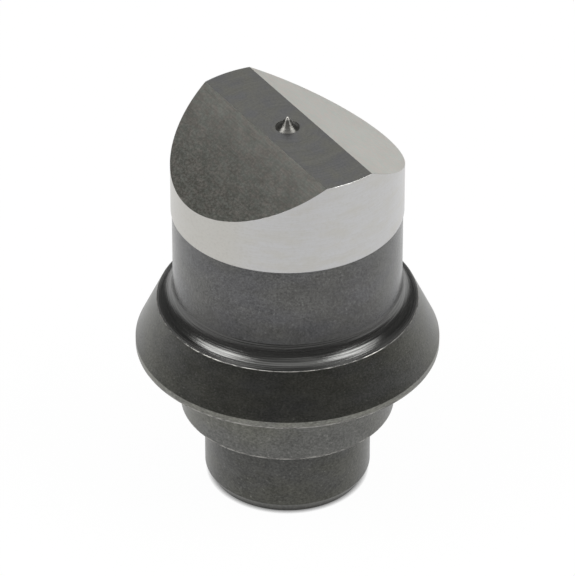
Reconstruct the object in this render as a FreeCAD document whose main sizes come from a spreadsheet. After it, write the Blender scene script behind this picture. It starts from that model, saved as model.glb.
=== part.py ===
import FreeCAD, Part
import math
import os

import Sketcher

# Round shear punch of hardened tool steel: a stepped tail and pilot below a coned collar, a relieved body,
# a ground cutting land and a roof-shaped nose whose flat strip carries a pressed-in centre point.
# Frame: origin at the centre of the drive face, +Z up the punch axis, strip along X. Millimetres, degrees.

# Driving sizes: alias, value, what it is. Each is set by itself and written only here.
DRIVING_SIZES = (
    ("cutting_diameter", 27.0, "diameter of the ground cutting land, the size of the hole it cuts"),
    ("body_relief", 0.13, "how far the body lies inside the cutting land, per side"),
    ("tail_diameter", 19.6, "lowest step, which guides the punch into the ram"),
    ("tail_length", 9.95, "drive face to the pilot step"),
    ("tail_lead_length", 1.35, "length of the lead on the tail, along the axis"),
    ("tail_lead_angle", 30.0, "lead on the tail, from the axis"),
    ("pilot_step", 2.8, "how far the pilot, which centres the punch, stands out from the tail, per side"),
    ("pilot_length", 8.45, "pilot step to the underside of the collar"),
    ("rim_height", 0.85, "cylindrical rim below the collar's cone"),
    ("cone_height", 5.4, "coned seat for the retaining nut, from the rim up to the lip"),
    ("cone_angle", 25.0, "coned seat, from the axis"),
    ("collar_top_angle", 15.0, "top of the collar, falling from the body to the lip, from the horizontal"),
    ("lip_land", 0.08, "straight part of the collar's top, between the root fillet and the lip"),
    ("root_radius", 2.5, "fillet between the body and the top of the collar"),
    ("corner_radius", 0.6, "fillet between the pilot and the collar, which takes the pull of stripping"),
    ("edge_break", 0.2, "chamfer on the pilot's outer edge"),
    ("rim_break", 0.06, "chamfer on the lower edge of the rim"),
    ("body_length", 12.5, "lip of the collar to the lower edge of the cutting land"),
    ("land_length", 4.9, "cutting land, at its lowest places below the slopes"),
    ("strip_width", 6.0, "flat strip along the top of the nose"),
    ("slope_angle", 30.0, "each shear slope, below the horizontal"),
    ("point_diameter", 2.5, "centre point, and its bore"),
    ("point_stand", 0.03, "cylindrical part of the centre point that stands above the strip"),
    ("point_angle", 39.0, "cone of the centre point, from the axis"),
    ("point_tip_radius", 0.28, "rounding at the very tip"),
    ("point_depth", 8.0, "how deep the centre point is pressed into the nose"),
    ("point_chamfer", 0.25, "lead-in at the lower end of the centre point"),
    ("bore_mouth_break", 0.2, "countersink round the mouth of the bore, radially"),
    ("drill_point_angle", 118.0, "included angle at the bottom of the bore"),
)

# How far a cutting outline reaches past the solid that it cuts.
CUT_MARGIN = "2"

# Radii and heights worked out from the driving sizes, as expressions for the document.
TAIL_RADIUS = "sizes.tail_diameter / 2"
TAIL_FACE_RADIUS = f"{TAIL_RADIUS} - sizes.tail_lead_length * tan(sizes.tail_lead_angle)"
PILOT_RADIUS = f"{TAIL_RADIUS} + sizes.pilot_step"
LAND_RADIUS = "sizes.cutting_diameter / 2"
BODY_RADIUS = f"{LAND_RADIUS} - sizes.body_relief"
COLLAR_TOP = "(sizes.root_radius / tan(45 + sizes.collar_top_angle / 2) + sizes.lip_land)"
LIP_RADIUS = f"{BODY_RADIUS} + {COLLAR_TOP} * cos(sizes.collar_top_angle)"
COLLAR_RADIUS = f"{LIP_RADIUS} + sizes.cone_height * tan(sizes.cone_angle)"
STRIP_HALF = "sizes.strip_width / 2"
POINT_RADIUS = "sizes.point_diameter / 2"
NOSE_RADIUS = "sizes.point_tip_radius * cos(sizes.point_angle)"

COLLAR_UNDERSIDE = "sizes.tail_length + sizes.pilot_length"
RIM_TOP = f"{COLLAR_UNDERSIDE} + sizes.rim_height"
LIP_HEIGHT = f"{RIM_TOP} + sizes.cone_height"
ROOT_HEIGHT = f"{LIP_HEIGHT} + {COLLAR_TOP} * sin(sizes.collar_top_angle)"
RELIEF_TOP = f"{LIP_HEIGHT} + sizes.body_length"
SLOPE_FOOT = f"{RELIEF_TOP} + sizes.land_length"
STRIP_HEIGHT = f"{SLOPE_FOOT} + ({LAND_RADIUS} - {STRIP_HALF}) * tan(sizes.slope_angle)"

# Centre of the round nose at the tip of the centre point, above the strip.
NOSE_CENTRE = (f"sizes.point_stand + {POINT_RADIUS} / tan(sizes.point_angle)"
               " - sizes.point_tip_radius / sin(sizes.point_angle)")


def make_sheet(doc):
    """The spreadsheet of driving sizes: name, value and meaning in three columns."""
    sheet = doc.addObject("Spreadsheet::Sheet", "sizes")
    for row, (alias, value, meaning) in enumerate(DRIVING_SIZES, start=1):
        sheet.set(f"A{row}", alias.replace("_", " "))
        sheet.set(f"B{row}", str(value))
        sheet.setAlias(f"B{row}", alias)
        sheet.set(f"C{row}", meaning)
    doc.recompute()
    return sheet


def value(sheet, expression):
    """The number that an expression of the sheet's sizes stands for."""
    return float(sheet.evalExpression(expression))


def new_body(doc, label):
    """A body whose label is also the name of the file it is written to."""
    body = doc.addObject("PartDesign::Body", label)
    body.Label = label
    return body


def origin_feature(body, role):
    """One of the body's own origin planes or axes."""
    return next(item for item in body.Origin.OriginFeatures if item.Role == role)


def new_sketch(body, name, plane):
    """A sketch on one of the body's origin planes."""
    sketch = body.newObject("Sketcher::SketchObject", name)
    sketch.AttachmentSupport = (origin_feature(body, plane), [""])
    sketch.MapMode = "FlatFace"
    return sketch


def dimension(sketch, kind, references, expression, name):
    """A dimension of the sketch that follows an expression of the sheet."""
    start = value(sketch.Document.sizes, expression)
    index = sketch.addConstraint(Sketcher.Constraint(kind, *references, start))
    sketch.renameConstraint(index, name)
    sketch.setExpression(f"Constraints.{name}", expression)


def place_corner(sketch, index, corner, previous):
    """Ties one corner of an outline: to an axis, to the line before it, or by a dimension."""
    across, up, name = corner
    origin = (-1, 1)
    if across == "0":
        sketch.addConstraint(Sketcher.Constraint("PointOnObject", index, 1, -2))
    elif previous and across == previous[0]:
        sketch.addConstraint(Sketcher.Constraint("Vertical", index - 1))
    else:
        dimension(sketch, "DistanceX", (*origin, index, 1), across, f"{name}_across")
    if up == "0":
        sketch.addConstraint(Sketcher.Constraint("PointOnObject", index, 1, -1))
    elif previous and up == previous[1]:
        sketch.addConstraint(Sketcher.Constraint("Horizontal", index - 1))
    else:
        dimension(sketch, "DistanceY", (*origin, index, 1), up, f"{name}_up")


def draw_lines(sketch, corners):
    """Straight lines from each corner to the next. Each corner is (distance across, distance up, name)."""
    sheet = sketch.Document.sizes
    points = [FreeCAD.Vector(value(sheet, across), value(sheet, up), 0) for across, up, name in corners]
    for start, end in zip(points, points[1:]):
        index = sketch.addGeometry(Part.LineSegment(start, end), False)
        if index:
            sketch.addConstraint(Sketcher.Constraint("Coincident", index - 1, 2, index, 1))


def draw_outline(sketch, corners):
    """A closed outline of straight lines through the corners, each of them tied."""
    draw_lines(sketch, (*corners, corners[0]))
    sketch.addConstraint(Sketcher.Constraint("Coincident", len(corners) - 1, 2, 0, 1))
    for index, corner in enumerate(corners):
        place_corner(sketch, index, corner, corners[index - 1] if index else None)


def revolve(body, sketch, name):
    """A full turn of the sketch about its own vertical axis."""
    turned = body.newObject("PartDesign::Revolution", name)
    turned.Profile = sketch
    turned.ReferenceAxis = (sketch, ["V_Axis"])
    turned.Angle = 360
    body.Document.recompute()


def ring_edge(feature, radius, height):
    """The name of the circular edge of a turned shape at this radius and height."""
    near = 1e-4
    for index, edge in enumerate(feature.Shape.Edges, start=1):
        if not isinstance(edge.Curve, Part.Circle):
            continue
        if abs(edge.Curve.Radius - radius) < near and abs(edge.Curve.Center.z - height) < near:
            return f"Edge{index}"
    raise ValueError(f"no ring of radius {radius} at height {height}")


def dress_ring(body, kind, name, size_property, size, rings):
    """A fillet or chamfer on rings of the body's last feature, each given by radius and height."""
    sheet = body.Document.sizes
    base = body.Tip
    edges = [ring_edge(base, value(sheet, radius), value(sheet, height)) for radius, height in rings]
    feature = body.newObject(kind, name)
    feature.Base = (base, edges)
    feature.setExpression(size_property, size)
    body.Document.recompute()


def turn_blank(body):
    """The bar as it leaves the lathe, from the drive face up to the strip, with its rings dressed."""
    sketch = new_sketch(body, "turning_profile", "XZ_Plane")
    draw_outline(sketch, (
        ("0", "0", "axis_foot"),
        (TAIL_FACE_RADIUS, "0", "drive_face"),
        (TAIL_RADIUS, "sizes.tail_lead_length", "tail_lead"),
        (TAIL_RADIUS, "sizes.tail_length", "tail"),
        (PILOT_RADIUS, "sizes.tail_length", "pilot_step"),
        (PILOT_RADIUS, COLLAR_UNDERSIDE, "pilot"),
        (COLLAR_RADIUS, COLLAR_UNDERSIDE, "underside"),
        (COLLAR_RADIUS, RIM_TOP, "rim"),
        (LIP_RADIUS, LIP_HEIGHT, "lip"),
        (BODY_RADIUS, ROOT_HEIGHT, "body_foot"),
        (BODY_RADIUS, f"{RELIEF_TOP} - sizes.body_relief", "relief_runout"),
        (LAND_RADIUS, RELIEF_TOP, "land_foot"),
        (LAND_RADIUS, STRIP_HEIGHT, "land_top"),
        ("0", STRIP_HEIGHT, "axis_top"),
    ))
    revolve(body, sketch, "turned_blank")
    dress_ring(body, "PartDesign::Fillet", "collar_root", "Radius", "sizes.root_radius",
               [(BODY_RADIUS, ROOT_HEIGHT)])
    dress_ring(body, "PartDesign::Fillet", "pilot_corner", "Radius", "sizes.corner_radius",
               [(PILOT_RADIUS, COLLAR_UNDERSIDE)])
    dress_ring(body, "PartDesign::Chamfer", "pilot_edge", "Size", "sizes.edge_break",
               [(PILOT_RADIUS, "sizes.tail_length")])
    dress_ring(body, "PartDesign::Chamfer", "rim_edge", "Size", "sizes.rim_break",
               [(COLLAR_RADIUS, COLLAR_UNDERSIDE)])


def grind_slopes(body):
    """The two shear slopes, ground away on both sides of the strip."""
    outer = f"{LAND_RADIUS} + {CUT_MARGIN}"
    above = f"{STRIP_HEIGHT} + {CUT_MARGIN}"
    slope_end = f"{STRIP_HEIGHT} - ({outer} - {STRIP_HALF}) * tan(sizes.slope_angle)"
    sketch = new_sketch(body, "slope_outline", "YZ_Plane")
    draw_outline(sketch, (
        (STRIP_HALF, STRIP_HEIGHT, "strip_edge"),
        (outer, slope_end, "slope_end"),
        (outer, above, "outer_corner"),
        (STRIP_HALF, above, "inner_corner"),
    ))
    slope = body.newObject("PartDesign::Pocket", "shear_slope")
    slope.Profile = sketch
    slope.Type = "ThroughAll"
    slope.SideType = "Symmetric"
    body.Document.recompute()
    pair = body.newObject("PartDesign::Mirrored", "shear_slope_pair")
    pair.Originals = [slope]
    pair.MirrorPlane = (origin_feature(body, "XZ_Plane"), [""])
    body.Tip = pair
    body.Document.recompute()


def bore_for_point(body):
    """The blind bore in the strip that holds the centre point, with its drill cone and broken mouth."""
    sketch = new_sketch(body, "point_centre", "XY_Plane")
    sketch.setExpression("AttachmentOffset.Base.z", STRIP_HEIGHT)
    radius = value(body.Document.sizes, POINT_RADIUS)
    circle = Part.Circle(FreeCAD.Vector(0, 0, 0), FreeCAD.Vector(0, 0, 1), radius)
    sketch.addGeometry(circle, False)
    sketch.addConstraint(Sketcher.Constraint("Coincident", 0, 3, -1, 1))
    dimension(sketch, "Radius", (0,), POINT_RADIUS, "bore_radius")
    body.Document.recompute()
    bore = body.newObject("PartDesign::Hole", "point_bore")
    bore.Profile = sketch
    body.Document.recompute()
    bore.DepthType = "Dimension"
    bore.DrillPoint = "Angled"
    bore.HoleCutType = "Countersink"
    bore.HoleCutCustomValues = True
    bore.HoleCutCountersinkAngle = 90
    bore.setExpression("Diameter", "sizes.point_diameter")
    bore.setExpression("Depth", "sizes.point_depth")
    bore.setExpression("DrillPointAngle", "sizes.drill_point_angle")
    bore.setExpression("HoleCutDiameter", "sizes.point_diameter + 2 * sizes.bore_mouth_break")
    body.Document.recompute()


def make_punch_body(doc):
    """The one-piece hardened punch: tail, pilot, coned collar, relieved body and roof-shaped nose."""
    body = new_body(doc, "punch_body")
    turn_blank(body)
    blank_volume = body.Shape.Volume
    grind_slopes(body)
    ground_volume = body.Shape.Volume
    bore_for_point(body)
    if not body.Shape.Volume < ground_volume < blank_volume:
        raise ValueError("a cut in the punch body removed nothing")
    return body


def draw_point_outline(sketch):
    """Half section of the centre point, with the strip's surface at height 0 and a round nose on its cone."""
    sheet = sketch.Document.sizes
    corners = (
        ("0", "-sizes.point_depth", "axis_foot"),
        (f"{POINT_RADIUS} - sizes.point_chamfer", "-sizes.point_depth", "end_face"),
        (POINT_RADIUS, "sizes.point_chamfer - sizes.point_depth", "lead_in"),
        (POINT_RADIUS, "sizes.point_stand", "shoulder"),
    )
    nose_start = (NOSE_RADIUS, f"{NOSE_CENTRE} + sizes.point_tip_radius * sin(sizes.point_angle)", "nose")
    draw_lines(sketch, (*corners, nose_start))
    for index, corner in enumerate(corners):
        place_corner(sketch, index, corner, corners[index - 1] if index else None)
    cone = len(corners) - 1
    centre = FreeCAD.Vector(0, value(sheet, NOSE_CENTRE), 0)
    circle = Part.Circle(centre, FreeCAD.Vector(0, 0, 1), value(sheet, "sizes.point_tip_radius"))
    start_angle = math.radians(value(sheet, "sizes.point_angle"))
    nose = sketch.addGeometry(Part.ArcOfCircle(circle, start_angle, math.pi / 2), False)
    apex = sketch.Geometry[nose].EndPoint
    axis = sketch.addGeometry(Part.LineSegment(apex, sketch.Geometry[0].StartPoint), False)
    for constraint in (
        ("Tangent", cone, 2, nose, 1),
        ("PointOnObject", nose, 3, -2),
        ("PointOnObject", nose, 2, -2),
        ("Coincident", nose, 2, axis, 1),
        ("Coincident", axis, 2, 0, 1),
    ):
        sketch.addConstraint(Sketcher.Constraint(*constraint))
    dimension(sketch, "Radius", (nose,), "sizes.point_tip_radius", "nose_radius")
    dimension(sketch, "DistanceY", (-1, 1, nose, 3), NOSE_CENTRE, "nose_centre_up")


def make_centre_point(doc):
    """The hardened pin that marks the middle of the hole. It stands in the strip with its cone up."""
    body = new_body(doc, "centre_point")
    sketch = new_sketch(body, "point_profile", "XZ_Plane")
    draw_point_outline(sketch)
    revolve(body, sketch, "turned_point")
    body.setExpression("Placement.Base.z", STRIP_HEIGHT)
    doc.recompute()
    return body


def check(doc, bodies):
    """Stops the build if a feature failed or a piece has no sound shape."""
    for item in doc.Objects:
        if "Invalid" in item.State or "Error" in item.State:
            raise ValueError(f"{item.Label} failed: {item.State}")
    for body in bodies:
        if body.Shape.isNull() or not body.Shape.isValid() or len(body.Shape.Solids) != 1:
            raise ValueError(f"{body.Label} has no sound solid")


def main():
    doc = FreeCAD.newDocument("round_punch")
    make_sheet(doc)
    bodies = [make_punch_body(doc), make_centre_point(doc)]
    doc.recompute()
    check(doc, bodies)
    os.makedirs("parts", exist_ok=True)
    for body in bodies:
        body.Shape.exportStep(f"parts/{body.Label}.step")
        print(body.Label, "volume", round(body.Shape.Volume, 2), body.Shape.BoundBox)


main()
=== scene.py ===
import math

import bmesh
import bpy
from bpy.props import FloatProperty, FloatVectorProperty, IntProperty, PointerProperty
from mathutils import Matrix, Vector, noise


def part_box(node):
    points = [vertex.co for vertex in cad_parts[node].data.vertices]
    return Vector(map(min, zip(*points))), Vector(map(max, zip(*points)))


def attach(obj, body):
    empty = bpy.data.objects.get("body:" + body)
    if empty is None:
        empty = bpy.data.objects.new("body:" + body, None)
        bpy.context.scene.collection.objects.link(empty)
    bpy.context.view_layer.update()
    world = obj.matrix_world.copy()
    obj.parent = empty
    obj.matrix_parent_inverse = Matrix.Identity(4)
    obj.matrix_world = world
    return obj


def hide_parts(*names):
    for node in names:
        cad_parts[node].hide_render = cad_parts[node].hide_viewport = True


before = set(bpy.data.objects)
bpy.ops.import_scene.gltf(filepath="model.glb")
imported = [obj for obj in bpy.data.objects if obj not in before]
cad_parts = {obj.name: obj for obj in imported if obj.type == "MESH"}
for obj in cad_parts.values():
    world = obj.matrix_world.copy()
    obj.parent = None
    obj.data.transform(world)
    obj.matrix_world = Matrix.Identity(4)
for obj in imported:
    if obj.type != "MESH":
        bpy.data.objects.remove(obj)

bl_info = {
    "name": "Round Punch",
    "version": (1, 0, 0),
    "blender": (4, 5, 0),
    "location": "3D View > Sidebar > Punch",
    "description": "Builds a round shear punch with its turned, oxidised and ground surfaces, and a studio for it",
    "category": "Add Mesh",
}

MM = 0.001
BORE_SEGMENTS = 96      # mesh lines round the bore and the centre point
DRILL_HALF_ANGLE = math.radians(59)

# The frame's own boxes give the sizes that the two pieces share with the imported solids.
BODY_LOW, BODY_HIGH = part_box("punch_body")
POINT_LOW, POINT_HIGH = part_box("centre_point")


def linear(hex_colour):
    """An sRGB hex colour as linear red, green, blue and alpha."""
    channels = [int(hex_colour[start:start + 2], 16) / 255 for start in (1, 3, 5)]
    return (*[c / 12.92 if c <= 0.04045 else ((c + 0.055) / 1.055) ** 2.4 for c in channels], 1.0)


def length(name, millimetres, description):
    """A length property, written in millimetres and held in metres."""
    return FloatProperty(name=name, description=description, default=millimetres * MM, unit="LENGTH", precision=5)


def colour(name, hex_colour, description):
    """A colour property, written as sRGB hex and held as linear values."""
    return FloatVectorProperty(
        name=name, description=description, default=linear(hex_colour), size=4, min=0.0, max=1.0, subtype="COLOR")


class PunchSizes(bpy.types.PropertyGroup):
    """Sizes of the turned blank, of its ground nose and of the centre point."""

    tail_radius: length("Tail radius", 9.8, "Radius of the lowest step")
    tail_face_radius: length("Drive face radius", 9.0206, "Radius of the flat face at the foot of the tail")
    face_centre: length("Face centre", 0.25, "Radius of the innermost mesh ring of the drive face")
    tail_lead: length("Tail lead", 1.35, "Height of the lead at the foot of the tail")
    tail_height: length("Tail height", 9.95, "Drive face to the pilot step")
    pilot_radius: length("Pilot radius", 12.6, "Radius of the step below the collar")
    pilot_chamfer: length("Pilot chamfer", 0.2, "Chamfer on the pilot's lower edge")
    collar_height: length("Collar height", 18.4, "Drive face to the underside of the collar")
    collar_radius: FloatProperty(
        name="Collar radius", description="Radius of the rim, from the packed solid", default=BODY_HIGH[0],
        unit="LENGTH", precision=5)
    rim_chamfer: length("Rim chamfer", 0.06, "Chamfer on the lower edge of the rim")
    rim_top: length("Rim top", 19.25, "Drive face to the foot of the coned seat")
    lip_radius: length("Lip radius", 15.3, "Radius of the coned seat's upper edge")
    lip_height: length("Lip height", 24.65, "Drive face to the outer edge of the collar's top")
    collar_top_angle: FloatProperty(
        name="Collar top angle", description="Fall of the collar's top towards its lip, from the horizontal",
        default=math.radians(15), subtype="ANGLE")
    root_radius: length("Root fillet", 2.5, "Fillet between the collar and the body")
    corner_radius: length("Collar corner", 0.6, "Fillet between the pilot and the collar")
    body_radius: length("Body radius", 13.37, "Radius of the relieved body")
    land_radius: length("Land radius", 13.5, "Radius of the ground cutting land")
    land_foot: length("Land foot", 37.15, "Drive face to the lower edge of the cutting land")
    strip_width: length("Strip width", 6.0, "Width of the flat strip along the nose")
    strip_height: FloatProperty(
        name="Strip height", description="Drive face to the strip, from the packed solid", default=BODY_HIGH[2],
        unit="LENGTH", precision=5)
    slope_angle: FloatProperty(
        name="Slope angle", description="Each shear slope, below the horizontal", default=math.radians(30),
        subtype="ANGLE")
    edge_break: length("Edge break", 0.12, "Rounding of the turned edges, left by tumbling and handling")
    cutting_edge: length("Cutting edge", 0.009, "Width of the worn facet on the cutting edges and ridges")
    edge_wear: length("Edge wear", 0.16, "Height of the rubbed band above the lower edges of rim and pilot")
    edge_chip: length("Edge chip", 0.02, "Width of the burnished chip in the cutting edge at one end of the strip")
    recess_radius: length("Recess radius", 1.42, "Radius of the recess in the strip round the centre point's foot")
    recess_depth: length("Recess depth", 0.07, "Depth of the recess where it meets the bore")
    bore_radius: length("Bore radius", 1.255, "Radius of the bore that holds the centre point")
    bore_depth: length("Bore depth", 8.0, "Depth of the bore, above its drill cone")
    # Painted shade: over this height above the root fillet, the body's sheen is turned down.
    painted_shade_height: length("Dull height", 4.6, "Height above the root fillet over which the body's oxide is duller")
    turning_pitch: length("Turning pitch", 0.24, "Feed of the tool's lines in the root fillet")
    turning_depth: length("Turning depth", 0.003, "Depth of the lines in the root fillet")
    point_radius: length("Point radius", 1.25, "Radius of the centre point")
    point_shoulder: length("Point shoulder", -0.03, "Height of the centre point's shoulder above the strip")
    point_tip: length("Point tip", 0.22, "Rounding at the tip of the centre point")
    point_angle: FloatProperty(
        name="Point angle", description="Cone of the centre point above its flared foot, from the axis",
        default=math.radians(34.5), subtype="ANGLE")
    point_flare: length("Point flare", 0.28, "How far the foot of the centre point's cone flares out")
    point_chamfer: length("Point chamfer", 0.25, "Chamfer at the lower end of the centre point")
    point_ripple: length("Point ripple", 0.007, "Depth of the tool's lines on the centre point")
    point_top: FloatProperty(
        name="Point top", description="Drive face to the tip, from the packed solid", default=POINT_HIGH[2],
        unit="LENGTH", precision=5)
    point_foot: FloatProperty(
        name="Point foot", description="Drive face to the pin's lower end, from the packed solid",
        default=POINT_LOW[2], unit="LENGTH", precision=5)
    segments: IntProperty(
        name="Segments", description="Mesh lines round the punch, a multiple of 8", default=360, min=48)


class PunchFinish(bpy.types.PropertyGroup):
    """Colours of the oxide and of the ground steel."""

    oxide: colour("Oxide", "#1E1E1D", "Dark heat-treatment oxide")
    oxide_blue: colour("Blue oxide", "#1D1F23", "Bluish temper patches in the oxide")
    oxide_olive: colour("Olive oxide", "#22211C", "Olive patches in the oxide, where oil has dried")
    oxide_sheen: colour("Oxide sheen", "#FFFFF1", "Tint of what the oxide mirrors, faintly straw-coloured")
    oxide_clear: colour("Clear oxide", "#FFFFFC", "Tint of what the smoother oxide of body and strip mirrors")
    steel: colour("Ground steel", "#C1C1C2", "Hardened tool steel, finely ground")
    oxide_cold: colour("Cold oxide", "#FAFAFF", "Tint of what the bluish patches mirror")
    slope: colour("Ground slope", "#CFD2CA", "The same steel on the slopes, where the wheel has warmed it a little")
    slope_warm: colour("Warm slope", "#D6D0C8", "Brownish patches on the slopes, where fluid has dried")
    # This dark colour is also painted shade: through the grain it darkens the near slope, and the foot of each slope.
    slope_grain_and_shade: colour("Slope grain", "#82827A", "Hollows of the grain that the coarser wheel leaves on the slopes")
    # Also used for the warmer, slightly darker side of the land below the near slope.
    steel_warm: colour("Warm steel", "#BDBBB5", "Warm patches in the ground steel, from handling")
    worn: colour("Worn edge", "#B4B2AD", "Steel that shows through at worn edges")
    dull: colour("Dull steel", "#83827E", "Steel of the centre point, dulled by the hardening")
    dark: colour("Dark steel", "#4A4946", "Lines on the centre point that have kept some of their oxide")


class StudioLight(bpy.types.PropertyGroup):
    """Levels of the lamps and of the world."""

    side: FloatProperty(name="Side panels", description="Radiance of the two side panels", default=6.0, min=0.0)
    overhead: FloatProperty(name="Overhead panel", description="Radiance of the panel above", default=0.88, min=0.0)
    rear: FloatProperty(name="Rear panel", description="Radiance of the panel behind", default=0.75, min=0.0)
    room: FloatProperty(name="Room", description="Radiance of the room round the panels", default=0.12, min=0.0)
    floor: colour("Floor", "#FAFAF9", "Pale floor")


def add_node(tree, kind, inputs=None, **settings):
    """Adds a node with its settings. inputs maps sockets to values or to the outputs that feed them."""
    node = tree.nodes.new(kind)
    for name, setting in settings.items():
        setattr(node, name, setting)
    for socket, source in (inputs or {}).items():
        if isinstance(source, bpy.types.NodeSocket):
            tree.links.new(source, node.inputs[socket])
        else:
            node.inputs[socket].default_value = source
    return node


def new_material(name):
    """An empty node material and its tree."""
    material = bpy.data.materials.new(name)
    material.use_nodes = True
    material.node_tree.nodes.clear()
    return material, material.node_tree


def finish_material(tree, inputs):
    """Ends a material in one Principled shader with these inputs."""
    shader = add_node(tree, "ShaderNodeBsdfPrincipled", inputs)
    add_node(tree, "ShaderNodeOutputMaterial", {"Surface": shader.outputs[0]})


def lathe_place(tree):
    """Place on a turned surface: the bearing round the axis in X and Y, the way along the outline in Z."""
    place = add_node(tree, "ShaderNodeTexCoord").outputs["Object"]
    level = add_node(tree, "ShaderNodeVectorMath", {0: place, 1: (1, 1, 0)}, operation="MULTIPLY").outputs[0]
    bearing = add_node(tree, "ShaderNodeVectorMath", {0: level}, operation="NORMALIZE").outputs[0]
    radius = add_node(tree, "ShaderNodeVectorMath", {0: level}, operation="LENGTH").outputs["Value"]
    height = add_node(tree, "ShaderNodeSeparateXYZ", {0: place}).outputs["Z"]
    outline = add_node(tree, "ShaderNodeMath", {0: radius, 1: height}, operation="SUBTRACT").outputs[0]
    along = add_node(tree, "ShaderNodeCombineXYZ", {"Z": outline}).outputs[0]
    return add_node(tree, "ShaderNodeVectorMath", {0: bearing, 1: along}, operation="ADD").outputs[0]


def own_axes(tree):
    """X, Y and Z of a place on the object, as three outputs."""
    place = add_node(tree, "ShaderNodeTexCoord").outputs["Object"]
    return add_node(tree, "ShaderNodeSeparateXYZ", {0: place}).outputs


def grain(tree, place, scale, detail=2.0, roughness=0.5):
    """Noise on a place, with so many grains for each unit of its three directions."""
    vector = add_node(tree, "ShaderNodeVectorMath", {0: place, 1: scale}, operation="MULTIPLY").outputs[0]
    return add_node(
        tree, "ShaderNodeTexNoise",
        {"Vector": vector, "Scale": 1.0, "Detail": detail, "Roughness": roughness}).outputs[0]


def turned(radius, around, along):
    """Grains for each unit of lathe_place, from their real lengths round and along, in millimetres."""
    return (radius / around, radius / around, 1 / (along * MM))


def flat(across_x, across_y, across_z=1.0):
    """Grains for each metre of the object's own directions, from their real lengths in millimetres."""
    return (1 / (across_x * MM), 1 / (across_y * MM), 1 / (across_z * MM))


def remap(tree, value, low, high, to_low, to_high):
    """A smooth step of a value from one range to another."""
    return add_node(
        tree, "ShaderNodeMapRange",
        {"Value": value, "From Min": low, "From Max": high, "To Min": to_low, "To Max": to_high},
        interpolation_type="SMOOTHSTEP").outputs[0]


def blend(tree, factor, first, second):
    """One colour going into another."""
    return add_node(tree, "ShaderNodeMix", {0: factor, 6: first, 7: second}, data_type="RGBA").outputs[2]


def bump(tree, height, depth, normal=None):
    """Relief of a real depth in millimetres for a height from 0 to 1."""
    inputs = {"Height": height, "Distance": depth * MM, "Strength": 1.0}
    if normal is not None:
        inputs["Normal"] = normal
    return add_node(tree, "ShaderNodeBump", inputs).outputs[0]


def around_axis(tree):
    """The direction of marks that run round the punch."""
    return add_node(tree, "ShaderNodeTangent", direction_type="RADIAL", axis="Z").outputs[0]


def level_direction(tree):
    """The direction of marks that run level along a slope."""
    facing_out = add_node(tree, "ShaderNodeNewGeometry").outputs["Normal"]
    return add_node(tree, "ShaderNodeVectorMath", {0: facing_out, 1: (0, 0, 1)}, operation="CROSS_PRODUCT").outputs[0]


def grooves(along, strength):
    """Shader inputs for fine marks in one direction, which stretch a highlight across themselves."""
    return {"Tangent": along, "Anisotropic": strength, "Anisotropic Rotation": 0.25}


def oxide_material(name, finish, sheen, radius, grain_mm, relief, roughness, ior, fleck, mottle, painted_shade_foot=None):
    """Hardened tool steel under its dark heat-treatment oxide, a thin mineral skin on a turned surface.

    The oxide mirrors little and keeps the steel's own grain, so it looks like dark satin. Blue and olive
    patches come from uneven heat and dried oil. Pores in the skin take away some of its sheen, and bright
    flecks are the tops of the grain, rubbed bare. The last argument gives two heights between which the sheen
    grows from 0.62 to full: this is painted shade, darkening the body towards the crease at the root fillet.
    radius, grain_mm (round and along) and relief are in millimetres, and fleck and mottle are how much of
    flecks and patches shows.
    """
    material, tree = new_material(name)
    place = lathe_place(tree)
    patches = grain(tree, place, turned(radius, 9.0, 5.0), 3.0, 0.6)
    tint = blend(tree, remap(tree, patches, 0.5, 0.66, 0.0, mottle), finish.oxide, finish.oxide_blue)
    tint = blend(tree, remap(tree, patches, 0.5, 0.36, 0.0, mottle), tint, finish.oxide_olive)
    mirrored = blend(tree, remap(tree, patches, 0.4, 0.6, 0.0, mottle), sheen, finish.oxide_cold)
    # Grains of 0.02 mm are too fine for the picture, so they are drawn at two to three pixels.
    fine = grain(tree, place, turned(radius, *grain_mm), 3.0, 0.7)
    bare = remap(tree, fine, 0.64, 0.78, 0.0, fleck)
    tint = blend(tree, bare, tint, finish.worn)
    cloud = grain(tree, place, turned(radius, 2.6, 1.6), 3.0, 0.6)
    pores = blend(tree, 0.25, fine, cloud)
    level = remap(tree, pores, 0.3, 0.7, 0.3, 0.7)
    # Painted shade: below the upper height the sheen falls towards the root fillet, darkening the crease at the foot
    # of the body.
    if painted_shade_foot:
        painted_shade_fade = remap(tree, own_axes(tree)["Z"], *painted_shade_foot, 0.62, 1.0)
        level = add_node(tree, "ShaderNodeMath", {0: level, 1: painted_shade_fade}, operation="MULTIPLY").outputs[0]
    finish_material(tree, {
        "Base Color": tint, "IOR": ior, "Specular Tint": mirrored, "Specular IOR Level": level,
        "Roughness": remap(tree, cloud, 0.3, 0.7, roughness - 0.02, roughness + 0.02),
        "Normal": bump(tree, fine, relief), **grooves(around_axis(tree), 0.3),
    })
    return material


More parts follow.
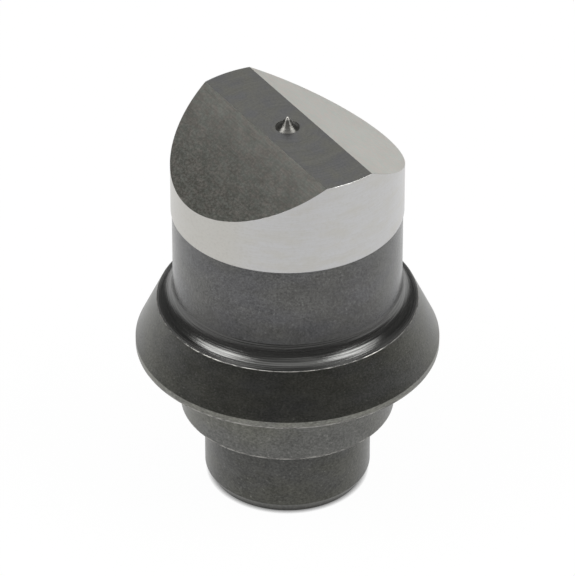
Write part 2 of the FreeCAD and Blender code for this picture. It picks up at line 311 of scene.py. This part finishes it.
def root_material(finish, sizes):
    """The oxide in the root fillet, burnished over the lines of the tool that turned it.

    The tool left rings 0.24 mm apart, each a little mirror, so a lamp is drawn out across them into a bright
    streaked patch. Between the lamps the fillet is nearly black. Towards the body its sheen is turned down, a
    painted shade in the crease where the fillet meets the body.
    """
    material, tree = new_material("oxide_turned_fillet")
    place = lathe_place(tree)
    radius = sizes.body_radius / MM
    root_top = root_centre(sizes).y
    painted_shade_height = 1.5 * MM
    # Painted shade: the sheen falls to 0.55 at the top of the fillet, in the crease where it meets the body.
    painted_shade_fade = remap(tree, own_axes(tree)["Z"], root_top, root_top - painted_shade_height, 0.55, 1.0)
    lines = grain(tree, place, turned(radius, 12.0, 0.2), 3.0, 0.7)
    level = add_node(
        tree, "ShaderNodeMath", {0: remap(tree, lines, 0.35, 0.65, 0.2, 0.8), 1: painted_shade_fade}, operation="MULTIPLY")
    specks = grain(tree, place, turned(radius, 0.6, 0.2), 3.0, 0.7)
    bare = remap(tree, specks, 0.62, 0.8, 0.0, 0.2)
    finish_material(tree, {
        "Base Color": blend(tree, bare, finish.oxide, finish.worn), "IOR": 1.8,
        "Specular Tint": finish.oxide_clear,
        "Specular IOR Level": level.outputs[0], "Roughness": 0.22,
        "Normal": bump(tree, specks, 0.005, bump(tree, lines, 0.01)), **grooves(around_axis(tree), 0.5),
    })
    return material


def land_material(finish, sizes):
    """The cutting land, cylindrically ground after hardening.

    Wheel marks of a few micrometres run round the punch, and give the eye a bright, soft sheen with fine
    lines. The marks are 0.02 mm apart, which the picture can't show, so they are drawn at 0.16 mm. The side
    below the near slope is warmer, a little darker and more flecked.
    """
    material, tree = new_material("ground_steel_land")
    place = lathe_place(tree)
    radius = sizes.land_radius / MM
    lines = grain(tree, place, turned(radius, 4.0, 0.16), 3.0, 0.65)
    bands = grain(tree, place, turned(radius, 3.5, 1.2), 3.0, 0.65)
    specks = grain(tree, place, turned(radius, 0.35, 0.25), 3.0, 0.7)
    tint = blend(tree, remap(tree, bands, 0.4, 0.7, 0.0, 0.6), finish.steel, finish.steel_warm)
    tint = blend(tree, remap(tree, lines, 0.35, 0.75, 0.0, 0.35), tint, finish.worn)
    # The side below the near slope is made warmer and a little darker, with more flecks of bare steel.
    side = own_axes(tree)["Y"]
    warm_side_span = (-9.5 * MM, -12.5 * MM)
    side_fleck_share = remap(tree, side, *warm_side_span, 0.35, 0.75)
    tint = blend(tree, remap(tree, side, *warm_side_span, 0.0, 0.8), tint, finish.steel_warm)
    flecks = add_node(
        tree, "ShaderNodeMath", {0: remap(tree, specks, 0.45, 0.7, 0.0, 1.0), 1: side_fleck_share}, operation="MULTIPLY")
    tint = blend(tree, flecks.outputs[0], tint, finish.worn)
    finish_material(tree, {
        "Base Color": tint, "Metallic": 1.0, "Roughness": 0.3,
        "Normal": bump(tree, specks, 0.006, bump(tree, lines, 0.004)), **grooves(around_axis(tree), 0.6),
    })
    return material


def slope_material(name, finish, sizes, grain_and_shade_share):
    """The shear slopes, surface ground along the ridge with a coarser wheel.

    The wheel leaves short scratches along the ridge and a fine granular break-up between them. The grain's
    dark pits are also painted shade: they grow darker down the slope, and the share given for each slope, how
    dark its grain and scratches look, is large on the near slope, which is painted darker than the far one.
    Beside the ridge, and at the end where the wheel came in, it has gone over more often, so the steel is more
    matt there and looks lighter. The grain is 0.05 mm in truth, and is drawn at 0.3 mm so that it shows.
    """
    material, tree = new_material(name)
    place = add_node(tree, "ShaderNodeTexCoord").outputs["Object"]
    along, _, height = add_node(tree, "ShaderNodeSeparateXYZ", {0: place}).outputs
    low = sizes.strip_height - 0.7 * sizes.land_radius * math.tan(sizes.slope_angle)
    ridge_band = 2.0 * MM
    wheel_entry, wheel_even = -11 * MM, 5 * MM
    # Painted shade: the dark grain grows with the slope's fall, so the foot of the slope is painted darker.
    downhill_grain_and_shade = remap(tree, height, sizes.strip_height, low, 0.45 * grain_and_shade_share, grain_and_shade_share)
    granules = grain(tree, place, flat(0.36, 0.28, 0.34), 3.0, 0.75)
    scratches = grain(tree, place, flat(4.0, 0.14, 0.28), 3.0, 0.65)
    cloud = grain(tree, place, flat(1.7, 1.2, 1.7), 3.0, 0.65)
    depth = remap(tree, blend(tree, 0.15, granules, cloud), 0.66, 0.38, 0.3, 1.0)
    pits_and_shade = add_node(tree, "ShaderNodeMath", {0: depth, 1: downhill_grain_and_shade}, operation="MULTIPLY")
    stains = grain(tree, place, flat(1.1, 0.5, 0.6), 3.0, 0.6)
    steel = blend(tree, remap(tree, stains, 0.38, 0.62, 0.0, 1.0), finish.slope, finish.slope_warm)
    scratched = remap(tree, scratches, 0.45, 0.75, 0.0, 0.4 * grain_and_shade_share)
    steel = blend(tree, scratched, steel, finish.slope_grain_and_shade)
    tint = blend(tree, pits_and_shade.outputs[0], steel, finish.slope_grain_and_shade)
    matt = add_node(tree, "ShaderNodeMath", {
        0: remap(tree, height, sizes.strip_height - ridge_band, sizes.strip_height, 0.0, 0.023),
        1: remap(tree, along, wheel_even, wheel_entry, 0.0, 0.02)}, operation="ADD")
    roughness = add_node(
        tree, "ShaderNodeMath", {0: remap(tree, cloud, 0.3, 0.7, 0.285, 0.315), 1: matt.outputs[0]},
        operation="ADD")
    finish_material(tree, {
        "Base Color": tint, "Metallic": 1.0, "Roughness": roughness.outputs[0],
        "Normal": bump(tree, granules, 0.006, bump(tree, scratches, 0.003)),
        **grooves(level_direction(tree), 0.6),
    })
    return material


def strip_material(finish):
    """The strip, faced on the lathe round the centre point and left with its oxide.

    The facing lines are circles round the axis. The skin is smooth, so it is glossier than the body, with
    blue and straw temper patches.
    """
    material, tree = new_material("oxide_faced_strip")
    place = lathe_place(tree)
    open_place = add_node(tree, "ShaderNodeTexCoord").outputs["Object"]
    patches = grain(tree, open_place, flat(2.6, 2.6), 3.0, 0.6)
    tint = blend(tree, remap(tree, patches, 0.5, 0.65, 0.0, 0.6), finish.oxide, finish.oxide_blue)
    tint = blend(tree, remap(tree, patches, 0.5, 0.35, 0.0, 0.8), tint, finish.oxide_olive)
    mirrored = blend(tree, remap(tree, patches, 0.35, 0.65, 0.1, 0.7), finish.oxide_sheen, finish.oxide_cold)
    lines = grain(tree, place, turned(6.0, 9.0, 0.22), 3.0, 0.6)
    specks = grain(tree, open_place, flat(0.25, 0.25), 3.0, 0.7)
    finish_material(tree, {
        "Base Color": tint, "IOR": 2.0, "Specular Tint": mirrored,
        "Specular IOR Level": remap(tree, blend(tree, 0.6, lines, specks), 0.3, 0.7, 0.38, 0.6),
        "Roughness": remap(tree, patches, 0.35, 0.65, 0.28, 0.34),
        "Normal": bump(tree, specks, 0.004, bump(tree, lines, 0.0015)),
    })
    return material


def worn_material(name, finish, least, most):
    """Edges rubbed by handling: bright steel that breaks through the oxide in spots and short dashes.

    least and most are how much of the steel shows between the spots and in them.
    """
    material, tree = new_material(name)
    place = lathe_place(tree)
    spots = grain(tree, place, turned(15.0, 1.3, 0.3), 4.0, 0.8)
    bare = remap(tree, spots, 0.42, 0.58, least, most)
    finish_material(tree, {
        "Base Color": blend(tree, bare, finish.oxide, finish.worn), "Metallic": bare, "Roughness": 0.34,
        "Normal": bump(tree, spots, 0.01),
    })
    return material


def point_material(finish, sizes):
    """The centre point, turned and dulled by the hardening.

    The tool's rings on it are drawn 0.2 mm apart, light and dark. The work that it marks rubs its tip bright.
    """
    material, tree = new_material("dull_turned_point")
    place = lathe_place(tree)
    rings = grain(tree, place, turned(sizes.point_radius / MM, 2.0, 0.2), 2.0, 0.6)
    dull_below, bright_above = sizes.point_top - 0.45 * MM, sizes.point_top - 0.1 * MM
    rubbed = remap(tree, own_axes(tree)["Z"], dull_below, bright_above, 0.0, 1.0)
    tint = blend(tree, rings, finish.dull, finish.dark)
    finish_material(tree, {
        "Base Color": blend(tree, rubbed, tint, finish.worn), "Metallic": 1.0,
        "Roughness": remap(tree, rings, 0.3, 0.7, 0.3, 0.36), "Normal": bump(tree, rings, 0.003),
        **grooves(around_axis(tree), 0.8),
    })
    return material


def rounded(corners):
    """Rings (radius, height, zone) of a turned outline, from its corners.

    A corner is (radius, height, rounding, steps, zone of its rounding, zone beyond it), and a ring's zone is
    that of the surface beyond it. Each long straight run gets a ring close to both its ends, so that the
    rounding doesn't pull at the shading of the run.
    """
    support = 0.04 * MM
    rings = [(corners[0][0], corners[0][1], corners[0][-1])]
    for before, corner, after in zip(corners, corners[1:], corners[2:]):
        point = Vector(corner[:2])
        back = Vector(before[:2]) - point
        ahead = Vector(after[:2]) - point
        half = back.angle(ahead) / 2
        radius, steps, edge_zone, zone = corner[2:]
        if radius:
            reach = radius / math.tan(half)
            centre = point + (back.normalized() + ahead.normalized()).normalized() * radius / math.sin(half)
            start = point + back.normalized() * reach - centre
            end = point + ahead.normalized() * reach - centre
            sweep = start.angle_signed(end)
            arc = []
            for step in range(steps + 1):
                turn = -sweep * step / steps
                arc.append(centre + Vector((
                    start.x * math.cos(turn) - start.y * math.sin(turn),
                    start.x * math.sin(turn) + start.y * math.cos(turn))))
        else:
            arc = [point]
        ring_zone = before[-1]
        last = Vector(rings[-1][:2])
        run = arc[0] - last
        if run.length > 4 * support:
            rings.append((*(last + run.normalized() * support), ring_zone))
            rings.append((*(arc[0] - run.normalized() * support), ring_zone))
        rings.extend((*place, edge_zone) for place in arc[:-1])
        rings.append((*arc[-1], zone))
    rings.append((corners[-1][0], corners[-1][1], corners[-1][-1]))
    return rings


def root_corner(s):
    """Height at which the collar's falling top would meet the body without its fillet."""
    return s.lip_height + (s.lip_radius - s.body_radius) * math.tan(s.collar_top_angle)


def root_sweep(s):
    """Angle that the root fillet turns through, from the body to the collar's top."""
    return math.pi / 2 - s.collar_top_angle


def root_centre(s):
    """Centre of the root fillet, as a radius and a height. Its height is where the fillet meets the body."""
    reach = s.root_radius * math.tan(root_sweep(s) / 2)
    return Vector((s.body_radius + s.root_radius, root_corner(s) + reach))


def blank_outline(s):
    """Corners of the turned blank from the edge of the drive face to the foot of the cutting land."""
    edge = s.edge_break
    fine = 0.03 * MM
    return (
        (s.face_centre, 0.0, 0, 0, "tail", "tail"),
        (s.tail_face_radius, 0.0, fine, 3, "tail", "tail"),
        (s.tail_radius, s.tail_lead, edge, 4, "tail", "tail"),
        (s.tail_radius, s.tail_height, 0, 0, "tail", "pilot"),
        (s.pilot_radius - s.pilot_chamfer, s.tail_height, fine, 3, "worn", "worn"),
        (s.pilot_radius, s.tail_height + s.pilot_chamfer, fine, 3, "worn", "rubbed"),
        (s.pilot_radius, s.tail_height + s.pilot_chamfer + s.edge_wear, 0, 0, "rubbed", "pilot"),
        (s.pilot_radius, s.collar_height, s.corner_radius, 8, "pilot", "collar"),
        (s.collar_radius - s.rim_chamfer, s.collar_height, fine, 3, "worn", "worn"),
        (s.collar_radius, s.collar_height + s.rim_chamfer, fine, 3, "worn", "rubbed"),
        (s.collar_radius, s.collar_height + s.rim_chamfer + s.edge_wear, 0, 0, "rubbed", "rim"),
        (s.collar_radius, s.rim_top, edge, 4, "rim", "collar"),
        (s.lip_radius, s.lip_height, edge, 6, "worn", "fillet"),
        (s.body_radius, root_corner(s), s.root_radius, 150, "fillet", "body"),
        (s.body_radius, s.land_foot - (s.land_radius - s.body_radius), fine, 2, "body", "land"),
        (s.land_radius, s.land_foot, 0, 0, "land", "land"),
        (s.land_radius, s.strip_height, 0, 0, "land", "land"),
    )


def turning_marks(rings, s):
    """The rings of the root fillet, cut in and out by the tool's lines."""
    tolerance = 0.002 * MM
    fade_at_body, fade_at_collar = 0.5, 0.03    # radians of the fillet over which the lines grow
    sweep, centre = root_sweep(s), root_centre(s)
    marked = []
    for radius, height, zone in rings:
        out = Vector((radius, height)) - centre
        in_fillet = abs(out.length - s.root_radius) < tolerance and out.x < 0 and out.y < 0
        if in_fillet:
            swept = math.atan2(-out.y, -out.x)
            way = swept * s.root_radius / s.turning_pitch
            fade = min(1.0, swept / fade_at_body) * min(1.0, (sweep - swept) / fade_at_collar)
            depth = 0.6 + 0.8 * noise.noise(Vector((way * 0.6, 3.0, 0.0)))
            wander = 0.25 * noise.noise(Vector((way * 0.9, 0.0, 7.0)))
            cut = s.turning_depth * depth * fade * math.sin(2 * math.pi * (way + wander))
            radius, height = centre + out.normalized() * (s.root_radius - cut)
        marked.append((radius, height, zone))
    return marked


def nose_height(s, y):
    """Height of the roof-shaped nose above a line at this y: strip, worn ridge facet or slope."""
    over = abs(y) - s.strip_width / 2
    wear = s.cutting_edge
    slant = math.tan(s.slope_angle)
    outer = wear * math.cos(s.slope_angle)
    if over <= -wear:
        return s.strip_height
    if over < outer:
        return s.strip_height - outer * slant * (over + wear) / (outer + wear)
    return s.strip_height - over * slant


def bearings(s, radius):
    """Bearings of the mesh lines. Those at the ridges meet both edges of the ridge facets at this radius."""
    ridge = math.asin(s.strip_width / 2 / s.land_radius)
    inner = math.asin((s.strip_width / 2 - s.cutting_edge) / radius)
    outer = math.asin((s.strip_width / 2 + s.cutting_edge * math.cos(s.slope_angle)) / radius)
    step = 2 * math.pi / s.segments
    taken = round(ridge / step)
    quarter = [index * step for index in range(taken)]
    quarter += [inner, outer]
    quarter += [index * step for index in range(taken + 1, s.segments // 4 + 1)]
    half = quarter + [math.pi - bearing for bearing in reversed(quarter[:-1])]
    return half + [math.pi + bearing for bearing in half[1:-1]], len(quarter) - 1, quarter.index(outer)


def even_angles(count):
    """Bearings spread evenly round the axis."""
    return [2 * math.pi * place / count for place in range(count)]


def add_ring(mesh, radius, height, angles):
    """A ring of vertices. The height may be a number or a function of y."""
    ring = []
    for angle in angles:
        x, y = radius * math.cos(angle), radius * math.sin(angle)
        ring.append(mesh.verts.new((x, y, height(y) if callable(height) else height)))
    return ring


def skin(mesh, lower, upper, index):
    """Faces between two rings."""
    count = len(lower)
    for place in range(count):
        after = (place + 1) % count
        face = mesh.faces.new((lower[place], lower[after], upper[after], upper[place]))
        face.material_index = index
        face.smooth = True


def cap(mesh, vertices, index):
    """One flat face."""
    face = mesh.faces.new(vertices)
    face.material_index = index


def close_tip(mesh, ring, height, index):
    """Triangles from a ring to a point on the axis."""
    tip = mesh.verts.new((0, 0, height))
    for place, vertex in enumerate(ring):
        face = mesh.faces.new((vertex, ring[(place + 1) % len(ring)], tip))
        face.material_index = index
        face.smooth = True


def add_piece(mesh, name, materials):
    """Turns a bmesh into a shown object, with sharp edges where surfaces meet."""
    bmesh.ops.recalc_face_normals(mesh, faces=mesh.faces)
    data = bpy.data.meshes.new(name)
    smooth = [face.smooth for face in mesh.faces]
    mesh.to_mesh(data)
    mesh.free()
    for material in materials:
        data.materials.append(material)
    data.set_sharp_from_angle(angle=math.radians(32))
    # The caps stay flat, so that their shading isn't bent by the narrow facets at their edges.
    data.polygons.foreach_set("use_smooth", smooth)
    piece = bpy.data.objects.new(name, data)
    bpy.context.scene.collection.objects.link(piece)
    return piece


def chip_edge(s, wall_top, rim, angles):
    """Widens the facet of the cutting edge where the end of the strip has been rubbed bright.

    Its width wanders along the edge and falls to nothing in places, which breaks it into dashes.
    """
    start, end = math.radians(-9.5), math.radians(3.0)
    dashes = 95     # for each radian of the edge
    for angle, low, high in zip(angles, wall_top, rim):
        bearing = math.remainder(angle, 2 * math.pi)
        if start < bearing < end:
            taper = min(1.0, 6 * (bearing - start) / (end - start), 6 * (end - bearing) / (end - start))
            wander = noise.noise(Vector((bearing * dashes, 0.0, 0.0)))
            width = s.edge_chip * taper * max(0.0, 0.45 + 2.0 * wander)
            low.co.z -= width
            high.co.xy *= 1 - width / s.land_radius


def nose_top(mesh, s, wall_top, index):
    """The cutting edge, the two slopes, the ridge facets, and the strip with its recess and bore."""
    inset = s.land_radius - s.cutting_edge
    angles, crown, ridge = bearings(s, inset)
    rim = add_ring(mesh, inset, lambda y: nose_height(s, y), angles)
    chip_edge(s, wall_top, rim, angles)
    skin(mesh, wall_top, rim, index["land"])
    half = len(angles) // 2
    near, far = ridge, half - ridge
    cap(mesh, rim[near:far + 1], index["far_slope"])
    cap(mesh, rim[half + near:half + far + 1], index["near_slope"])
    cap(mesh, (rim[near - 1], rim[near], rim[far], rim[far + 1]), index["strip"])
    cap(mesh, (rim[half + near - 1], rim[half + near], rim[half + far], rim[(half + far + 1) % len(rim)]),
        index["strip"])
    turns = BORE_SEGMENTS
    mouth_angles = even_angles(turns)
    mouth = add_ring(mesh, s.recess_radius, s.strip_height, mouth_angles)
    upper = rim[:near] + rim[far + 1:half + 1]
    lower = rim[half:half + near] + rim[half + far + 1:] + rim[:1]
    cap(mesh, upper + mouth[turns // 2::-1], index["strip"])
    cap(mesh, lower + [mouth[0]] + mouth[:turns // 2 - 1:-1], index["strip"])
    slack = 0.01 * MM       # the wall leans in and the floor falls to the bore by this much
    recess = (
        (s.recess_radius - slack, s.strip_height - s.recess_depth + slack),
        (s.bore_radius, s.strip_height - s.recess_depth),
        (s.bore_radius, s.strip_height - s.bore_depth),
    )
    foot = mouth
    for radius, height in recess:
        above, foot = foot, add_ring(mesh, radius, height, mouth_angles)
        skin(mesh, above, foot, index["strip"])
    drill_cone = s.bore_radius / math.tan(DRILL_HALF_ANGLE)
    close_tip(mesh, foot, s.strip_height - s.bore_depth - drill_cone, index["strip"])


class PUNCH_OT_body(bpy.types.Operator):
    """Builds the one-piece punch: tail, pilot, coned collar, body, cutting land and nose"""

    bl_idname = "round_punch.body"
    bl_label = "Punch Body"

    def execute(self, context):
        s, finish = context.scene.punch_sizes, context.scene.punch_finish
        straw, clear = finish.oxide_sheen, finish.oxide_clear
        root_top = root_centre(s).y
        # Heights of the painted shade that darkens the body's sheen towards the root fillet.
        painted_shade_foot = (root_top, root_top + s.painted_shade_height)
        materials = {
            "tail": oxide_material(
                "oxide_tail", finish, straw, s.tail_radius / MM, grain_mm=(0.34, 0.26), relief=0.02,
                roughness=0.33, ior=1.68, fleck=0.4, mottle=0.4),
            "pilot": oxide_material(
                "oxide_pilot", finish, straw, s.pilot_radius / MM, grain_mm=(0.34, 0.26), relief=0.02,
                roughness=0.32, ior=2.0, fleck=0.4, mottle=0.4),
            "collar": oxide_material(
                "oxide_collar", finish, straw, s.collar_radius / MM, grain_mm=(0.3, 0.24), relief=0.018,
                roughness=0.3, ior=1.8, fleck=0.35, mottle=0.3),
            "rim": oxide_material(
                "oxide_rim", finish, straw, s.collar_radius / MM, grain_mm=(0.4, 0.2), relief=0.02,
                roughness=0.34, ior=2.35, fleck=0.6, mottle=0.3),
            "fillet": root_material(finish, s),
            "body": oxide_material(
                "oxide_body", finish, clear, s.body_radius / MM, grain_mm=(0.28, 0.24), relief=0.008,
                roughness=0.24, ior=1.86, fleck=0.15, mottle=0.6, painted_shade_foot=painted_shade_foot),
            "land": land_material(finish, s),
            # The near slope's large share paints it darker than the far slope: painted shade over its deeper grain.
            "near_slope": slope_material("ground_steel_near_slope", finish, s, grain_and_shade_share=0.88),
            "far_slope": slope_material("ground_steel_far_slope", finish, s, grain_and_shade_share=0.15),
            "strip": strip_material(finish),
            "worn": worn_material("worn_steel_edge", finish, least=0.1, most=1.0),
            "rubbed": worn_material("rubbed_steel_edge", finish, least=0.2, most=0.65),
        }
        index = {zone: place for place, zone in enumerate(materials)}
        mesh = bmesh.new()
        angles = bearings(s, s.land_radius)[0]
        rings = turning_marks(rounded(blank_outline(s)), s)
        previous = add_ring(mesh, *rings[0][:2], angles)
        close_tip(mesh, previous, 0.0, index["tail"])
        for (_, _, zone), (radius, height, _) in zip(rings, rings[1:-1]):
            ring = add_ring(mesh, radius, height, angles)
            skin(mesh, previous, ring, index[zone])
            previous = ring
        wall_top = add_ring(mesh, s.land_radius, lambda y: nose_height(s, y) - s.cutting_edge, angles)
        skin(mesh, previous, wall_top, index["land"])
        nose_top(mesh, s, wall_top, index)
        piece = add_piece(mesh, "punch_turned_body", materials.values())
        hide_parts("punch_body")
        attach(piece, "root")
        return {"FINISHED"}


class PUNCH_OT_point(bpy.types.Operator):
    """Builds the centre point, a hardened pin whose cone stands above the strip"""

    bl_idname = "round_punch.point"
    bl_label = "Centre Point"

    def execute(self, context):
        s, finish = context.scene.punch_sizes, context.scene.punch_finish
        shoulder = s.strip_height + s.point_shoulder
        flare_rise = 0.04 * MM      # the foot's underside rises outwards by this much, clear of the recess
        slant = s.point_angle
        rings = [
            (s.point_radius - s.point_chamfer, s.point_foot),
            (s.point_radius, s.point_foot + s.point_chamfer),
            (s.point_radius, shoulder - flare_rise),
        ]
        tip_centre = s.point_top - s.point_tip
        tip_radius = s.point_tip * math.cos(slant)
        tip_height = tip_centre + s.point_tip * math.sin(slant)
        rows, ripples = 64, 11      # mesh rings and waves of the tool's lines along the cone
        cone_foot = tip_radius + (tip_height - shoulder) * math.tan(slant)
        for row in range(rows + 1):
            part = row / rows
            radius = cone_foot + (tip_radius - cone_foot) * part + s.point_flare * (1 - part) ** 6
            height = shoulder + (tip_height - shoulder) * part
            fade = min(1.0, 6 * (1 - part)) * min(1.0, 6 * part)
            ripple = noise.noise(Vector((part * ripples, 0.0, 0.0))) * fade
            groove = s.point_ripple * ripple
            rings.append((radius + groove * math.cos(slant), height + groove * math.sin(slant)))
        tip_steps = 6
        for step in range(1, tip_steps):
            turn = slant + (math.pi / 2 - slant) * step / tip_steps
            rings.append((s.point_tip * math.cos(turn), tip_centre + s.point_tip * math.sin(turn)))
        mesh = bmesh.new()
        angles = even_angles(BORE_SEGMENTS)
        previous = add_ring(mesh, *rings[0], angles)
        close_tip(mesh, previous, s.point_foot, 0)
        for radius, height in rings[1:]:
            ring = add_ring(mesh, radius, height, angles)
            skin(mesh, previous, ring, 0)
            previous = ring
        close_tip(mesh, previous, s.point_top, 0)
        piece = add_piece(mesh, "centre_point_pin", [point_material(finish, s)])
        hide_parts("centre_point")
        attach(piece, "root")
        return {"FINISHED"}


def floor_material(light):
    """A matt paper table. What looks at it straight or by reflection sees it white, with its shadow kept."""
    material, tree = new_material("paper_floor")
    path = add_node(tree, "ShaderNodeLightPath").outputs
    seen = add_node(
        tree, "ShaderNodeMath", {0: path["Is Camera Ray"], 1: path["Is Glossy Ray"]}, operation="ADD").outputs[0]
    seen = add_node(
        tree, "ShaderNodeMath", {0: seen, 1: path["Is Transmission Ray"]}, operation="ADD",
        use_clamp=True).outputs[0]
    white_share, contact_reach = 0.97, 0.6 * MM
    share = add_node(tree, "ShaderNodeMath", {0: seen, 1: white_share}, operation="MULTIPLY").outputs[0]
    near = add_node(tree, "ShaderNodeAmbientOcclusion", {"Distance": contact_reach}, samples=8).outputs["AO"]
    paper = add_node(tree, "ShaderNodeBsdfDiffuse", {"Color": light.floor})
    white = add_node(tree, "ShaderNodeEmission", {"Color": (1, 1, 1, 1), "Strength": near})
    mixed = add_node(tree, "ShaderNodeMixShader", {0: share, 1: paper.outputs[0], 2: white.outputs[0]})
    add_node(tree, "ShaderNodeOutputMaterial", {"Surface": mixed.outputs[0]})
    return material


def make_world(light):
    """A dim grey room, white where the camera looks past the floor."""
    world = bpy.data.worlds.new("studio_room")
    world.use_nodes = True
    tree = world.node_tree
    tree.nodes.clear()
    path = add_node(tree, "ShaderNodeLightPath").outputs
    level = blend(tree, path["Is Camera Ray"], (light.room, light.room, light.room, 1), (1, 1, 1, 1))
    background = add_node(tree, "ShaderNodeBackground", {"Color": level, "Strength": 1.0})
    add_node(tree, "ShaderNodeOutputWorld", {"Surface": background.outputs[0]})
    bpy.context.scene.world = world


# The camera's bearing and height come from a least-squares fit to the picture: degrees and metres.
CAMERA_AZIMUTH = 58.03
CAMERA_ELEVATION = 34.89
CAMERA_DISTANCE = 0.6363
CAMERA_AIM = Vector((0.0, 0.0, 0.02568))
CAMERA_LENS = 341.06


def outward(azimuth, elevation):
    """Unit vector from the punch towards a place in the studio. Both angles are in degrees."""
    a, e = math.radians(azimuth), math.radians(elevation)
    return Vector((math.sin(a) * math.cos(e), -math.cos(a) * math.cos(e), math.sin(e)))


def facing(azimuth, elevation):
    """Turn of a panel or camera at a place round the punch that looks at it and keeps its own X level."""
    level = math.radians(azimuth)
    across = Vector((math.cos(level), math.sin(level), 0.0))
    back = outward(azimuth, elevation)
    return Matrix((across, back.cross(across), back)).transposed().to_euler()


def add_panel(name, azimuth, elevation, distance, width, height, radiance):
    """A soft panel lamp that faces the punch. The azimuth is counted from the camera."""
    lamp = bpy.data.lights.new(name, "AREA")
    lamp.shape = "RECTANGLE"
    lamp.size, lamp.size_y = width, height
    lamp.energy = radiance * math.pi * width * height
    panel = bpy.data.objects.new(name, lamp)
    panel.location = CAMERA_AIM + outward(CAMERA_AZIMUTH + azimuth, elevation) * distance
    panel.rotation_euler = facing(CAMERA_AZIMUTH + azimuth, elevation)
    panel.visible_camera = False
    bpy.context.scene.collection.objects.link(panel)


def add_floor(light):
    """The table: its front edge lies a hand's breadth before the punch, and it runs far to all other sides."""
    front, reach = 0.24, 6.0
    mesh = bmesh.new()
    corners = ((-reach, -front), (reach, -front), (reach, reach), (-reach, reach))
    cap(mesh, [mesh.verts.new((x, y, 0)) for x, y in corners], 0)
    data = bpy.data.meshes.new("floor")
    mesh.to_mesh(data)
    mesh.free()
    data.materials.append(floor_material(light))
    floor = bpy.data.objects.new("floor", data)
    floor.rotation_euler.z = math.radians(CAMERA_AZIMUTH)
    bpy.context.scene.collection.objects.link(floor)


class PUNCH_OT_stage(bpy.types.Operator):
    """Sets up the pale floor, the soft panels and the camera"""

    bl_idname = "round_punch.stage"
    bl_label = "Studio"

    def execute(self, context):
        scene, light = context.scene, context.scene.punch_light
        add_floor(light)
        make_world(light)
        side_panel = {"elevation": 51, "distance": 0.8, "width": 0.48, "height": 0.4, "radiance": light.side}
        add_panel("left_panel", azimuth=-74, **side_panel)
        add_panel("right_panel", azimuth=76, **side_panel)
        add_panel(
            "overhead_panel", azimuth=0, elevation=79, distance=0.8, width=0.6, height=1.1,
            radiance=light.overhead)
        add_panel(
            "rear_panel", azimuth=180, elevation=41, distance=1.0, width=0.8, height=0.9, radiance=light.rear)
        scene.view_settings.view_transform = "Standard"
        camera_data = bpy.data.cameras.new("camera")
        camera_data.lens = CAMERA_LENS
        camera_data.sensor_width = 36.0
        camera = bpy.data.objects.new("camera", camera_data)
        camera.location = CAMERA_AIM + outward(CAMERA_AZIMUTH, CAMERA_ELEVATION) * CAMERA_DISTANCE
        camera.rotation_euler = facing(CAMERA_AZIMUTH, CAMERA_ELEVATION)
        scene.collection.objects.link(camera)
        scene.camera = camera
        return {"FINISHED"}


class PUNCH_PT_panel(bpy.types.Panel):
    """Lists the punch's sizes and finishes, and the operators that build it"""

    bl_idname = "PUNCH_PT_panel"
    bl_label = "Round Punch"
    bl_space_type = "VIEW_3D"
    bl_region_type = "UI"
    bl_category = "Punch"

    def draw(self, context):
        layout = self.layout
        for operator in (PUNCH_OT_body, PUNCH_OT_point, PUNCH_OT_stage):
            layout.operator(operator.bl_idname)
        for group in (context.scene.punch_sizes, context.scene.punch_finish, context.scene.punch_light):
            box = layout.box()
            for name in group.__annotations__:
                box.prop(group, name)


CLASSES = (PunchSizes, PunchFinish, StudioLight, PUNCH_OT_body, PUNCH_OT_point, PUNCH_OT_stage, PUNCH_PT_panel)


def register():
    for item in CLASSES:
        bpy.utils.register_class(item)
    bpy.types.Scene.punch_sizes = PointerProperty(type=PunchSizes)
    bpy.types.Scene.punch_finish = PointerProperty(type=PunchFinish)
    bpy.types.Scene.punch_light = PointerProperty(type=StudioLight)


def unregister():
    del bpy.types.Scene.punch_light
    del bpy.types.Scene.punch_finish
    del bpy.types.Scene.punch_sizes
    for item in reversed(CLASSES):
        bpy.utils.unregister_class(item)


def main():
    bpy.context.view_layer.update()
    register()
    bpy.ops.round_punch.body()
    bpy.ops.round_punch.point()
    bpy.ops.round_punch.stage()


if __name__ == "__main__":
    main()
